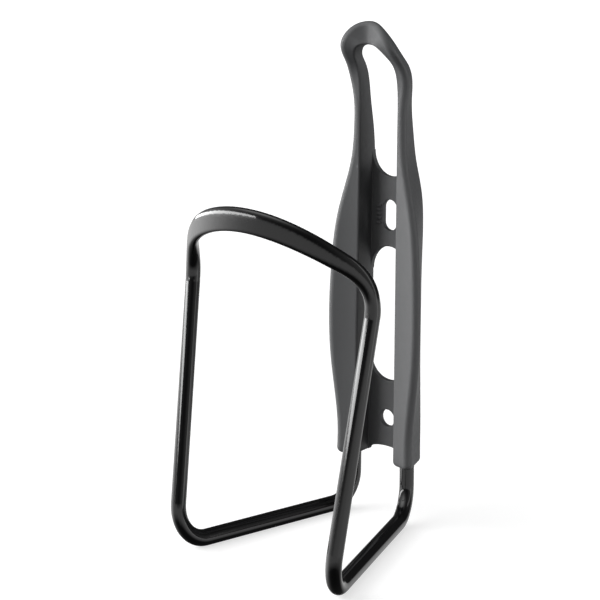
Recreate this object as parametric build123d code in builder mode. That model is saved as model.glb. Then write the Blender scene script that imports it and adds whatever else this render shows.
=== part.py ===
"""Bicycle water bottle cage: an aluminium wire hoop held in a moulded plastic spine.

Frame: +Z up along the bottle, the bottle side faces -Y, the bicycle tube side faces +Y.
The origin is the centre of the round lower bolt hole, on the face that meets the bicycle.
All lengths are millimetres.
"""

from build123d import *
from math import pi, sin, sqrt
import os

os.makedirs("parts", exist_ok=True)

# ---------------------------------------------------------------- driving dimensions

# the bottle the cage is made for
BOTTLE_RADIUS = 36.5
BOTTLE_AXIS_Y = -46.1
# free space between the bottle and the spine's front edges
BOTTLE_CLEARANCE = 0.2

# bolt holes in the bicycle tube: M5 bosses, 64 mm apart
BOLT_SPACING = 64.0
BOLT_HOLE_RADIUS = 2.65
SLOT_LENGTH = 10.0

# wire hoop
WIRE_RADIUS = 2.3
SOCKET_X = 9.85
SOCKET_Y = -5.85
HOOP_FLOOR_Z = -26.0
SOCKET_BEND_RADIUS = 9.0
FRONT_CORNER = (27.0, -76.4, HOOP_FLOOR_Z)
FRONT_BEND_RADIUS = 10.0
# the legs' tops and the corners they bend at, across the cage and up it
LEG_TOP = (32.6, 47.0)
LEG_CORNER = (33.4, 57.2)
BAND_ARCH_START_X = 28.0
BAND_ARCH_RADIUS = 43.5
BAND_TOP_Z = 72.0
BAND_WIDTH = 7.0
# the band's middle line; its inner face lies a fifth of a millimetre inside the bottle's
# surface, so that the hoop springs open and grips
BAND_STANDOFF = 1.1
BAND_RADIUS = BOTTLE_RADIUS + BAND_STANDOFF

# spine
WEB_FRONT_Y = -2.0
RAIL_BOTTOM_Z = -11.2
SOCKET_DEPTH = 19.0
RAIL_INNER_X = 7.0
# the webs run a little way into the rails
WEB_HALF_WIDTH = 8.2
# bottom edge, top edge, then how far each edge's round end climbs the rails
LOWER_WEB = (-8.6, 11.6, 2.4, 6.5)
UPPER_WEB = (54.0, 76.4, 8.0, 8.0)
RIB_X = 4.1
RIB_LENGTH = 1.6
RIB_PITCH = 1.4
RIB_COUNT = 5
RIB_HEIGHT = 0.35

# groove that anchors each wire end in its socket
GROOVE_Z = 2.0
GROOVE_WIDTH = 1.6
GROOVE_CORE_RADIUS = 1.9


# ---------------------------------------------------------------- wire hoop

# the band's centre line, seen from the front: the leg bends over into a round arch
with BuildLine() as half_arch:
    arch_centre_z = BAND_TOP_Z - BAND_ARCH_RADIUS
    arch_start_z = arch_centre_z + sqrt(BAND_ARCH_RADIUS**2 - BAND_ARCH_START_X**2)
    Bezier(LEG_TOP, LEG_CORNER, (BAND_ARCH_START_X, arch_start_z))
    RadiusArc((BAND_ARCH_START_X, arch_start_z), (0, BAND_TOP_Z), -BAND_ARCH_RADIUS)


def band_plane(along):
    """Section plane of the band: the arch wrapped onto a cylinder around the bottle."""
    point = half_arch.line @ along
    direction = half_arch.line % along
    depth = sqrt(BAND_RADIUS**2 - point.X**2)
    heading = Vector(direction.X, direction.X * point.X / depth, direction.Y).normalized()
    outwards = Vector(point.X, -depth, 0)
    outwards = outwards - heading * outwards.dot(heading)
    centre = (point.X, BOTTLE_AXIS_Y - depth, point.Y)
    return Plane(origin=centre, x_dir=outwards, z_dir=heading)


# the round wire is forged flat towards the front; its section area stays the same
WIRE_AREA = pi * WIRE_RADIUS**2
BAND_STATIONS = 13
ROUND_UNTIL = 0.12
FLAT_FROM = 0.9
# how far each quarter of the section is pulled out towards the corner of its box
ROUND_PULL = 4 / 3 * (sqrt(2) - 1)
FLAT_PULL = 0.93


def mirrored(plane):
    """The same section plane on the other side of the cage, still facing along the travel."""
    return Plane(
        origin=(-plane.origin.X, plane.origin.Y, plane.origin.Z),
        x_dir=(-plane.x_dir.X, plane.x_dir.Y, plane.x_dir.Z),
        z_dir=(plane.z_dir.X, -plane.z_dir.Y, -plane.z_dir.Z),
    )


def band_section(along):
    """Half width, half thickness and corner pull of the wire, 0 at the leg to 1 in front."""
    flatness = min(1, max(0, (along - ROUND_UNTIL) / (FLAT_FROM - ROUND_UNTIL)))
    flatness = sin(flatness * pi / 2)
    half_width = WIRE_RADIUS + flatness * (BAND_WIDTH / 2 - WIRE_RADIUS)
    pull = ROUND_PULL + flatness * (FLAT_PULL - ROUND_PULL)
    # area under one quarter curve in a box of side one
    quarter_area = (10 + 12 * pull - 3 * pull**2) / 20
    half_thickness = WIRE_AREA / (4 * half_width * quarter_area)
    return half_width, half_thickness, pull


def draw_band_section(half_width, half_thickness, pull):
    """Four quarter curves that meet at the middles of the broad faces and of the edges."""
    middles = [(half_thickness, 0), (0, half_width), (-half_thickness, 0), (0, -half_width)]
    for quarter in range(4):
        start = Vector(*middles[quarter])
        end = Vector(*middles[(quarter + 1) % 4])
        Bezier(start, start + end * pull, end + start * pull, end)


# the band starts square to the leg it grows out of
leg_top = band_plane(0).origin
leg_heading = leg_top - Vector(*FRONT_CORNER)
leg_plane = Plane(origin=leg_top, x_dir=band_plane(0).x_dir, z_dir=leg_heading)

band_stations = [(leg_plane, band_section(0))]
for station in range(1, BAND_STATIONS):
    along = station / (BAND_STATIONS - 1)
    band_stations.append((band_plane(along), band_section(along)))
band_stations += [(mirrored(plane), section) for plane, section in reversed(band_stations[:-1])]

with BuildPart() as wire_hoop:
    # the flattened band around the front of the bottle
    for plane, section in band_stations:
        with BuildSketch(plane):
            with BuildLine():
                draw_band_section(*section)
            make_face()
    loft()

    # two legs, the floor of the cage and the two straight ends, bent from the same rod
    band_ends = wire_hoop.faces().filter_by(GeomType.PLANE).sort_by(Axis.X)
    for side, band_end in ((-1, band_ends[0]), (1, band_ends[-1])):
        with BuildLine() as rod_line:
            FilletPolyline(
                (side * leg_top.X, leg_top.Y, leg_top.Z),
                (side * FRONT_CORNER[0], FRONT_CORNER[1], FRONT_CORNER[2]),
                (side * SOCKET_X, SOCKET_Y, HOOP_FLOOR_Z),
                (side * SOCKET_X, SOCKET_Y, RAIL_BOTTOM_Z + SOCKET_DEPTH),
                radius=(FRONT_BEND_RADIUS, SOCKET_BEND_RADIUS),
            )
        sweep(sections=band_end, path=rod_line.line)

    # a groove near each end, which anchors the wire in the plastic moulded around it
    for side in (1, -1):
        with Locations((side * SOCKET_X, SOCKET_Y, GROOVE_Z)):
            Cylinder(2 * WIRE_RADIUS, GROOVE_WIDTH, mode=Mode.SUBTRACT)
            Cylinder(GROOVE_CORE_RADIUS, GROOVE_WIDTH)

wire_hoop.part.label = "wire_hoop"
export_step(wire_hoop.part, "parts/wire_hoop.step")


# ---------------------------------------------------------------- moulded spine

# The spine is one closed loop of rail: up the right side, over the top and down the left.
# Each section has four corners: inner front, outer front (the ridge), outer back, inner back.
# Its front edge is hollowed to the bottle's roundness.
EDGE_RADII = (0.7, 1.6, 0.8, 0.5)
RAIL_FACE_RADIUS = BOTTLE_RADIUS + BOTTLE_CLEARANCE


def rail_front_y(x):
    """Depth of the rail's front face at width x: it lies along the bottle."""
    return BOTTLE_AXIS_Y + sqrt(RAIL_FACE_RADIUS**2 - x**2)


def level_section(z, ridge_x, back_x, back_y=0.0, inset=0.0):
    """Horizontal section of the right rail at height z, smaller all round by the inset."""
    inner_x = RAIL_INNER_X + inset
    corners = [
        (inner_x, rail_front_y(inner_x) + inset),
        (ridge_x - inset, rail_front_y(ridge_x) + inset),
        (back_x - inset, back_y - inset),
        (inner_x, back_y - inset),
    ]
    return Plane(origin=(0, 0, z)), corners


def arch_section(inner, outer, depth, taper):
    """Section between two front edge points; its inner wall runs straight back."""
    inner, outer = Vector(*inner), Vector(*outer)
    across = outer - inner
    backwards = Vector(0, depth, 0)
    plane = Plane(origin=inner, x_dir=across, z_dir=across.cross(backwards))
    outer_back = outer + backwards - across.normalized() * taper
    points = [inner, outer, outer_back, inner + backwards]
    points = [plane.to_local_coords(point) for point in points]
    return plane, [(point.X, point.Y) for point in points]


half_loop = [
    # the straight foot that holds the wire, with its bottom edge rounded off
    level_section(RAIL_BOTTOM_Z, 14.4, 11.4, inset=0.6),
    level_section(RAIL_BOTTOM_Z + 0.7, 14.4, 11.4, inset=0.1),
    level_section(RAIL_BOTTOM_Z + 2, 14.4, 11.4),
    level_section(-3, 14.4, 11.4),
    # the leaf-shaped belly, then the waist
    level_section(6, 15.7, 11.3),
    level_section(18, 18.2, 11.0),
    level_section(33, 19.4, 11.0),
    level_section(50, 18.4, 11.2),
    level_section(64, 15.9, 11.6),
    level_section(73, 13.2, 11.0),
    level_section(83, 11.0, 8.8),
    level_section(92, 10.5, 8.2, back_y=-1.0),
    level_section(102, 10.9, 8.8, back_y=-3.2),
    # the arm leans forward over the bottle's shoulder and closes in an arch
    arch_section((7.0, -11.2, 109.8), (12.1, -12.3, 109.8), depth=6.4, taper=2.1),
    arch_section((6.9, -12.9, 113.2), (11.8, -15.3, 113.6), depth=6.3, taper=1.3),
    arch_section((6.1, -15.9, 116.2), (11.2, -19.0, 117.4), depth=6.0, taper=0.8),
    arch_section((4.4, -17.8, 118.6), (10.1, -21.1, 121.8), depth=5.6, taper=1.6),
    arch_section((2.2, -17.9, 119.8), (5.6, -19.9, 127.4), depth=5.0, taper=2.6),
]
crown = arch_section((0, -17.4, 120.0), (0, -17.6, 128.3), depth=4.6, taper=1.4)
loop_sections = half_loop + [crown]
loop_sections += [(mirrored(plane), corners) for plane, corners in reversed(half_loop)]

with BuildPart() as spine:
    for plane, corners in loop_sections:
        with BuildSketch(plane) as outline:
            with BuildLine():
                inner_front, ridge, outer_back, inner_back = [Vector(*corner) for corner in corners]
                front = ridge - inner_front
                hollow = front.length**2 / (8 * RAIL_FACE_RADIUS)
                front_middle = inner_front + front / 2 + Vector(0, hollow)
                ThreePointArc(inner_front, front_middle, ridge)
                Polyline(ridge, outer_back, inner_back, inner_front)
            make_face()
            for corner, radius in zip(corners, EDGE_RADII):
                fillet(outline.vertices().sort_by_distance(Vector(*corner))[0], radius)
    loft()

    # the backs of the rails are flat where they meet the bicycle
    split(bisect_by=Plane.XZ, keep=Keep.TOP)

    # two webs tie the rails together and carry the bolt holes
    for bottom, top, bottom_flare, top_flare in (LOWER_WEB, UPPER_WEB):
        with BuildSketch(Plane.XZ):
            with Locations((0, (bottom - bottom_flare + top + top_flare) / 2)):
                Rectangle(2 * WEB_HALF_WIDTH, top + top_flare - bottom + bottom_flare)
            # the openings above and below each web have round ends
            for edge, flare in ((bottom, -bottom_flare), (top, top_flare)):
                with Locations((0, edge + flare)):
                    Ellipse(RAIL_INNER_X, abs(flare), mode=Mode.SUBTRACT)
        extrude(amount=-WEB_FRONT_Y)

    # raised ribs beside the slot bite into the bolt's washer
    with BuildSketch(Plane.XZ.offset(-WEB_FRONT_Y)):
        with Locations((0, BOLT_SPACING)):
            with GridLocations(2 * RIB_X, RIB_PITCH, 2, RIB_COUNT):
                Rectangle(RIB_LENGTH, RIB_PITCH / 2)
    extrude(amount=RIB_HEIGHT)

    # a round hole below and a slot above, for the two M5 frame bolts
    with BuildSketch(Plane.XZ):
        Circle(BOLT_HOLE_RADIUS)
        with Locations((0, BOLT_SPACING)):
            SlotOverall(SLOT_LENGTH, 2 * BOLT_HOLE_RADIUS, rotation=90)
    extrude(amount=-2 * WEB_FRONT_Y, mode=Mode.SUBTRACT)

    # the plastic is moulded around the two ends of the wire, so they shape their own sockets
    add(wire_hoop.part, mode=Mode.SUBTRACT)

spine.part.label = "spine"
export_step(spine.part, "parts/spine.step")
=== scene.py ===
"""Looks of the bicycle bottle cage: materials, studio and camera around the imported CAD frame.

Metres, in the same frame as the CAD: +Z up along the bottle, the bottle side faces -Y.
"""

import math

import bpy
from mathutils import Matrix, Vector


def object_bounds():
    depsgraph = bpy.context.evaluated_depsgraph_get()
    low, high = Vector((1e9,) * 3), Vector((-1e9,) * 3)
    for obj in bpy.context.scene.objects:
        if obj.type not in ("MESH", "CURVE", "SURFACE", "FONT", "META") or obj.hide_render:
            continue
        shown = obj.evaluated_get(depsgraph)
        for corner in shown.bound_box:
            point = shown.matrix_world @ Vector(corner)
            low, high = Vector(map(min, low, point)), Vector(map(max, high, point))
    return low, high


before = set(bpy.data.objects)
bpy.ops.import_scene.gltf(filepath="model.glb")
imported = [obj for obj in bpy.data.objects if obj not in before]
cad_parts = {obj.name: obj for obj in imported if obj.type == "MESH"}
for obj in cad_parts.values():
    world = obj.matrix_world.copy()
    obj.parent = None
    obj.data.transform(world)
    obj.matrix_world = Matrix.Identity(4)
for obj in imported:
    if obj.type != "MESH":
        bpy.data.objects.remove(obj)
cad_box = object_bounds()

MM = 0.001

# base colours, the darker and the lighter end of each finish's slow drift
PAINT_COLOURS = ((0.002, 0.002, 0.0022), (0.004, 0.004, 0.0043))
NYLON_COLOURS = ((0.056, 0.057, 0.059), (0.076, 0.077, 0.079))
FLOOR_COLOURS = ((0.48, 0.48, 0.48), (0.50, 0.50, 0.50))

# relief of the two finishes, and the radius over which the nylon's edges shade as rounded
PAINT_PEEL_DEPTH = 0.004 * MM
NYLON_GRAIN_DEPTH = 0.010 * MM
NYLON_EDGE_RADIUS = 0.35 * MM

# the floor, in heights of the cage: its half width and where its glow starts and is full
FLOOR_HALF_WIDTH = 60
FLOOR_GLOW_START = 1.5
FLOOR_GLOW_END = 8
FLOOR_GLOW_NEAR = 0.62
FLOOR_GLOW_FAR = 1.0

SOFTBOX_DISTANCE = 0.9

# where the band of light along the floor starts and where it has come up, as sines of elevation
HORIZON_TOP = (-0.06, -0.12)
HORIZON_BOTTOM = (-0.65, -0.35)

# the view that was fitted to the photograph: where its lens stands, which way the lens's axis
# points, and how far the picture's middle lies off that axis
CAMERA_PLACE = Vector((0.27168, -0.45111, 0.15213))
CAMERA_AZIMUTH = 39.30
CAMERA_ELEVATION = -7.43
CAMERA_ROLL = 1.82
LENS_MM = 91.35
SENSOR_MM = 36.0
SHIFT_X = 0.1992
SHIFT_Y = -0.9313
# a camera this close to the fitted place, in metres, counts as standing there
SAME_PLACE = 0.0001


# ---------------------------------------------------------------- node helpers


def maths_node(tree, operation, a, b):
    """The outcome of one operation on two values, each a number or a node's output."""
    node = tree.nodes.new("ShaderNodeMath")
    node.operation = operation
    for value, socket in ((a, node.inputs[0]), (b, node.inputs[1])):
        if isinstance(value, (int, float)):
            socket.default_value = value
        else:
            tree.links.new(value, socket)
    return node.outputs["Value"]


class Shader:
    """A material's node tree with short calls for the nodes that the finishes use."""

    def __init__(self, name):
        self.material = bpy.data.materials.new(name)
        self.material.use_nodes = True
        self.tree = self.material.node_tree
        self.surface = self.tree.nodes["Principled BSDF"].inputs
        self.place = self.tree.nodes.new("ShaderNodeTexCoord").outputs["Object"]

    def node(self, kind, **settings):
        made = self.tree.nodes.new(kind)
        for key, value in settings.items():
            setattr(made, key, value)
        return made

    def join(self, source, target):
        self.tree.links.new(source, target)

    def noise(self, size, detail=3.0, roughness=0.5, stretch=(1, 1, 1)):
        """Noise whose features are about size metres across, 0 to 1."""
        mapping = self.node("ShaderNodeMapping")
        mapping.inputs["Scale"].default_value = [1 / (size * s) for s in stretch]
        self.join(self.place, mapping.inputs["Vector"])
        noise = self.node("ShaderNodeTexNoise")
        noise.inputs["Scale"].default_value = 1.0
        noise.inputs["Detail"].default_value = detail
        noise.inputs["Roughness"].default_value = roughness
        self.join(mapping.outputs["Vector"], noise.inputs["Vector"])
        return noise.outputs["Fac"]

    def spread(self, value, low, high, start=0.3, end=0.7):
        """The value's range start to end, spread over low to high."""
        spread = self.node("ShaderNodeMapRange")
        spread.inputs["From Min"].default_value = start
        spread.inputs["From Max"].default_value = end
        spread.inputs["To Min"].default_value = low
        spread.inputs["To Max"].default_value = high
        self.join(value, spread.inputs["Value"])
        return spread.outputs["Result"]

    def maths(self, operation, a, b):
        return maths_node(self.tree, operation, a, b)

    def colour_mix(self, share, first, second):
        mix = self.node("ShaderNodeMix", data_type="RGBA")
        mix.inputs["A"].default_value = (*first, 1)
        mix.inputs["B"].default_value = (*second, 1)
        self.join(share, mix.inputs["Factor"])
        return mix.outputs["Result"]

    def bump(self, height, depth, normal=None):
        """Relief of the given depth in metres."""
        bump = self.node("ShaderNodeBump")
        bump.inputs["Strength"].default_value = 1.0
        bump.inputs["Distance"].default_value = depth
        self.join(height, bump.inputs["Height"])
        if normal is not None:
            self.join(normal, bump.inputs["Normal"])
        return bump.outputs["Normal"]

    def soft_edges(self, radius):
        """Shading that rounds the sharp edges over a small radius."""
        bevel = self.node("ShaderNodeBevel", samples=8)
        bevel.inputs["Radius"].default_value = radius
        return bevel.outputs["Normal"]


# ---------------------------------------------------------------- finishes


def gloss_black():
    """Black paint over drawn aluminium: a clear wet gloss with slight orange peel."""
    shader = Shader("gloss_black")
    drift = shader.noise(9 * MM)
    scuffs = shader.noise(1.6 * MM, detail=5, roughness=0.65)
    peel = shader.noise(0.9 * MM, detail=2)
    base_roughness = shader.spread(drift, 0.10, 0.13)
    scuff_roughness = shader.spread(scuffs, 0.0, 0.06, start=0.5, end=0.8)
    normal = shader.bump(peel, PAINT_PEEL_DEPTH)
    surface = shader.surface
    shader.join(shader.colour_mix(drift, *PAINT_COLOURS), surface["Base Color"])
    shader.join(shader.maths("ADD", base_roughness, scuff_roughness), surface["Roughness"])
    shader.join(normal, surface["Normal"])
    surface["IOR"].default_value = 1.5
    surface["Coat Weight"].default_value = 0.5
    surface["Coat Roughness"].default_value = 0.06
    shader.join(normal, surface["Coat Normal"])
    return shader.material


def satin_charcoal():
    """Moulded glass-filled nylon: charcoal with a fine spark-eroded grain."""
    shader = Shader("satin_charcoal")
    flow = shader.noise(14 * MM, detail=2, stretch=(1, 1, 3))
    mottle = shader.noise(1.2 * MM, detail=4, roughness=0.6)
    grain = shader.noise(0.22 * MM, detail=3, roughness=0.6)
    share = shader.maths("MULTIPLY", shader.maths("ADD", flow, mottle), 0.5)
    normal = shader.bump(grain, NYLON_GRAIN_DEPTH, shader.soft_edges(NYLON_EDGE_RADIUS))
    surface = shader.surface
    shader.join(shader.colour_mix(share, *NYLON_COLOURS), surface["Base Color"])
    shader.join(shader.spread(mottle, 0.46, 0.58), surface["Roughness"])
    shader.join(normal, surface["Normal"])
    surface["IOR"].default_value = 1.52
    return shader.material


FINISHES = {"wire_hoop": gloss_black, "spine": satin_charcoal}
for node_name, finish in FINISHES.items():
    cad_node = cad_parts[node_name]
    cad_node.data.materials.clear()
    cad_node.data.materials.append(finish())


# ---------------------------------------------------------------- studio

low, high = cad_box
centre = (low + high) / 2
height = high.z - low.z


def direction(azimuth, elevation):
    """Unit vector from the cage; azimuth 0 is the bottle side, 90 the right, in degrees."""
    a, e = math.radians(azimuth), math.radians(elevation)
    return Vector((math.sin(a) * math.cos(e), -math.cos(a) * math.cos(e), math.sin(e)))


def floor_paper():
    """Pale paper whose own glow grows with the distance, so that it meets the white walls."""
    shader = Shader("floor_paper")
    mottle = shader.noise(30 * MM, detail=4)
    distance = shader.node("ShaderNodeVectorMath", operation="LENGTH")
    shader.join(shader.place, distance.inputs[0])
    glow = shader.spread(
        distance.outputs["Value"],
        FLOOR_GLOW_NEAR,
        FLOOR_GLOW_FAR,
        start=FLOOR_GLOW_START * height,
        end=FLOOR_GLOW_END * height,
    )
    shader.join(shader.colour_mix(mottle, *FLOOR_COLOURS), shader.surface["Base Color"])
    shader.surface["Roughness"].default_value = 0.9
    shader.surface["Emission Color"].default_value = (1, 1, 1, 1)
    shader.join(glow, shader.surface["Emission Strength"])
    return shader.material


def pale_floor():
    """A wide pale floor under the cage, which the cage neither mirrors nor takes light from."""
    size = FLOOR_HALF_WIDTH * height
    mesh = bpy.data.meshes.new("floor")
    corners = [(-size, -size, 0), (size, -size, 0), (size, size, 0), (-size, size, 0)]
    mesh.from_pydata(corners, [], [(0, 1, 2, 3)])
    mesh.materials.append(floor_paper())
    floor = bpy.data.objects.new("floor", mesh)
    floor.location = (centre.x, centre.y, low.z)
    floor.visible_diffuse = False
    floor.visible_glossy = False
    bpy.context.scene.collection.objects.link(floor)


def softbox(name, azimuth, elevation, half_width, half_height, brightness, mirrored=True):
    """A soft rectangular light that faces the cage and covers these angles of its view.

    A light that isn't mirrored only shades the cage and makes no highlight on the gloss.
    """
    distance = SOFTBOX_DISTANCE
    towards = direction(azimuth, elevation)
    data = bpy.data.lights.new(name, "AREA")
    data.shape = "RECTANGLE"
    data.size = 2 * distance * math.tan(math.radians(half_width))
    data.size_y = 2 * distance * math.tan(math.radians(half_height))
    data.energy = brightness * math.pi * data.size * data.size_y
    light = bpy.data.objects.new(name, data)
    light.location = centre + towards * distance
    light.rotation_mode = "QUATERNION"
    light.rotation_quaternion = towards.to_track_quat("Z", "Y")
    light.visible_camera = False
    light.visible_glossy = mirrored
    bpy.context.scene.collection.objects.link(light)


def glow_patch(tree, looking, azimuth, elevation, brightness, tightness):
    """Light that is brightest in one direction and falls off around it."""
    towards = tree.nodes.new("ShaderNodeVectorMath")
    towards.operation = "DOT_PRODUCT"
    tree.links.new(looking, towards.inputs[0])
    towards.inputs[1].default_value = direction(azimuth, elevation)
    facing = maths_node(tree, "MAXIMUM", towards.outputs["Value"], 0.0)
    lobe = maths_node(tree, "POWER", facing, tightness)
    return maths_node(tree, "MULTIPLY", lobe, brightness)


def horizon_band(tree, looking, brightness):
    """A band of light along the floor, faded at its top and at its bottom."""
    axes = tree.nodes.new("ShaderNodeSeparateXYZ")
    tree.links.new(looking, axes.inputs[0])
    band = brightness
    for edges in (HORIZON_TOP, HORIZON_BOTTOM):
        fade = tree.nodes.new("ShaderNodeMapRange")
        fade.inputs["From Min"].default_value, fade.inputs["From Max"].default_value = edges
        tree.links.new(axes.outputs["Z"], fade.inputs["Value"])
        band = maths_node(tree, "MULTIPLY", band, fade.outputs["Result"])
    return band


def studio_walls(glows, horizon, darkness):
    """White where the camera sees it; for the cage a dark room with glowing patches.

    The room also has a faint band of light along the floor.
    """
    world = bpy.data.worlds.new("studio")
    world.use_nodes = True
    tree = world.node_tree
    background = tree.nodes["Background"].inputs
    background["Color"].default_value = (1, 1, 1, 1)
    looking = tree.nodes.new("ShaderNodeTexCoord").outputs["Generated"]
    room = darkness
    for glow in glows:
        room = maths_node(tree, "ADD", glow_patch(tree, looking, **glow), room)
    room = maths_node(tree, "ADD", horizon_band(tree, looking, horizon), room)
    path = tree.nodes.new("ShaderNodeLightPath")
    seen = tree.nodes.new("ShaderNodeMix")
    tree.links.new(path.outputs["Is Camera Ray"], seen.inputs["Factor"])
    tree.links.new(room, seen.inputs["A"])
    seen.inputs["B"].default_value = 1.0
    tree.links.new(seen.outputs["Result"], background["Strength"])
    bpy.context.scene.world = world


pale_floor()
softbox(
    "left_key",
    azimuth=-48,
    elevation=20,
    half_width=27,
    half_height=18,
    brightness=7.5,
    mirrored=False,
)
softbox(
    "left_strip",
    azimuth=-65,
    elevation=-1.5,
    half_width=46,
    half_height=3.5,
    brightness=7.5,
)
softbox(
    "right_fill",
    azimuth=112,
    elevation=8,
    half_width=16,
    half_height=25,
    brightness=4.2,
    mirrored=False,
)
softbox(
    "right_strip",
    azimuth=105,
    elevation=8,
    half_width=7,
    half_height=25,
    brightness=0.8,
)
studio_walls(
    glows=(
        dict(azimuth=-78, elevation=-12, brightness=1.2, tightness=6),
        dict(azimuth=-25, elevation=55, brightness=2.0, tightness=6),
        dict(azimuth=95, elevation=8, brightness=0.3, tightness=6),
    ),
    horizon=0.6,
    darkness=0.03,
)


# ---------------------------------------------------------------- camera


def photo_camera():
    """The camera of the fitted view."""
    roll = math.radians(CAMERA_ROLL)
    back = direction(CAMERA_AZIMUTH, CAMERA_ELEVATION)
    level = direction(CAMERA_AZIMUTH + 90, 0)
    upright = back.cross(level)
    right = level * math.cos(roll) + upright * math.sin(roll)
    up = upright * math.cos(roll) - level * math.sin(roll)
    data = bpy.data.cameras.new("camera")
    data.lens = LENS_MM
    data.sensor_width = SENSOR_MM
    data.clip_start = 0.01
    data.clip_end = 100
    camera = bpy.data.objects.new("camera", data)
    camera.rotation_mode = "QUATERNION"
    camera.location = CAMERA_PLACE
    camera.rotation_quaternion = Matrix((right, up, back)).transposed().to_quaternion()
    bpy.context.scene.collection.objects.link(camera)
    bpy.context.scene.camera = camera
    shift_at_fitted_place(camera, "shift_x", SHIFT_X)
    shift_at_fitted_place(camera, "shift_y", SHIFT_Y)


def shift_at_fitted_place(camera, setting, shift):
    """The lens is shifted only while the camera stands at the fitted place."""
    driver = camera.data.driver_add(setting).driver
    driver.type = "SCRIPTED"
    across = driver.variables.new()
    across.name = "across"
    across.type = "TRANSFORMS"
    across.targets[0].id = camera
    across.targets[0].transform_type = "LOC_X"
    across.targets[0].transform_space = "WORLD_SPACE"
    driver.expression = f"{shift} if abs(across - {CAMERA_PLACE.x}) < {SAME_PLACE} else 0.0"


photo_camera()
bpy.context.scene.view_settings.view_transform = "Standard"
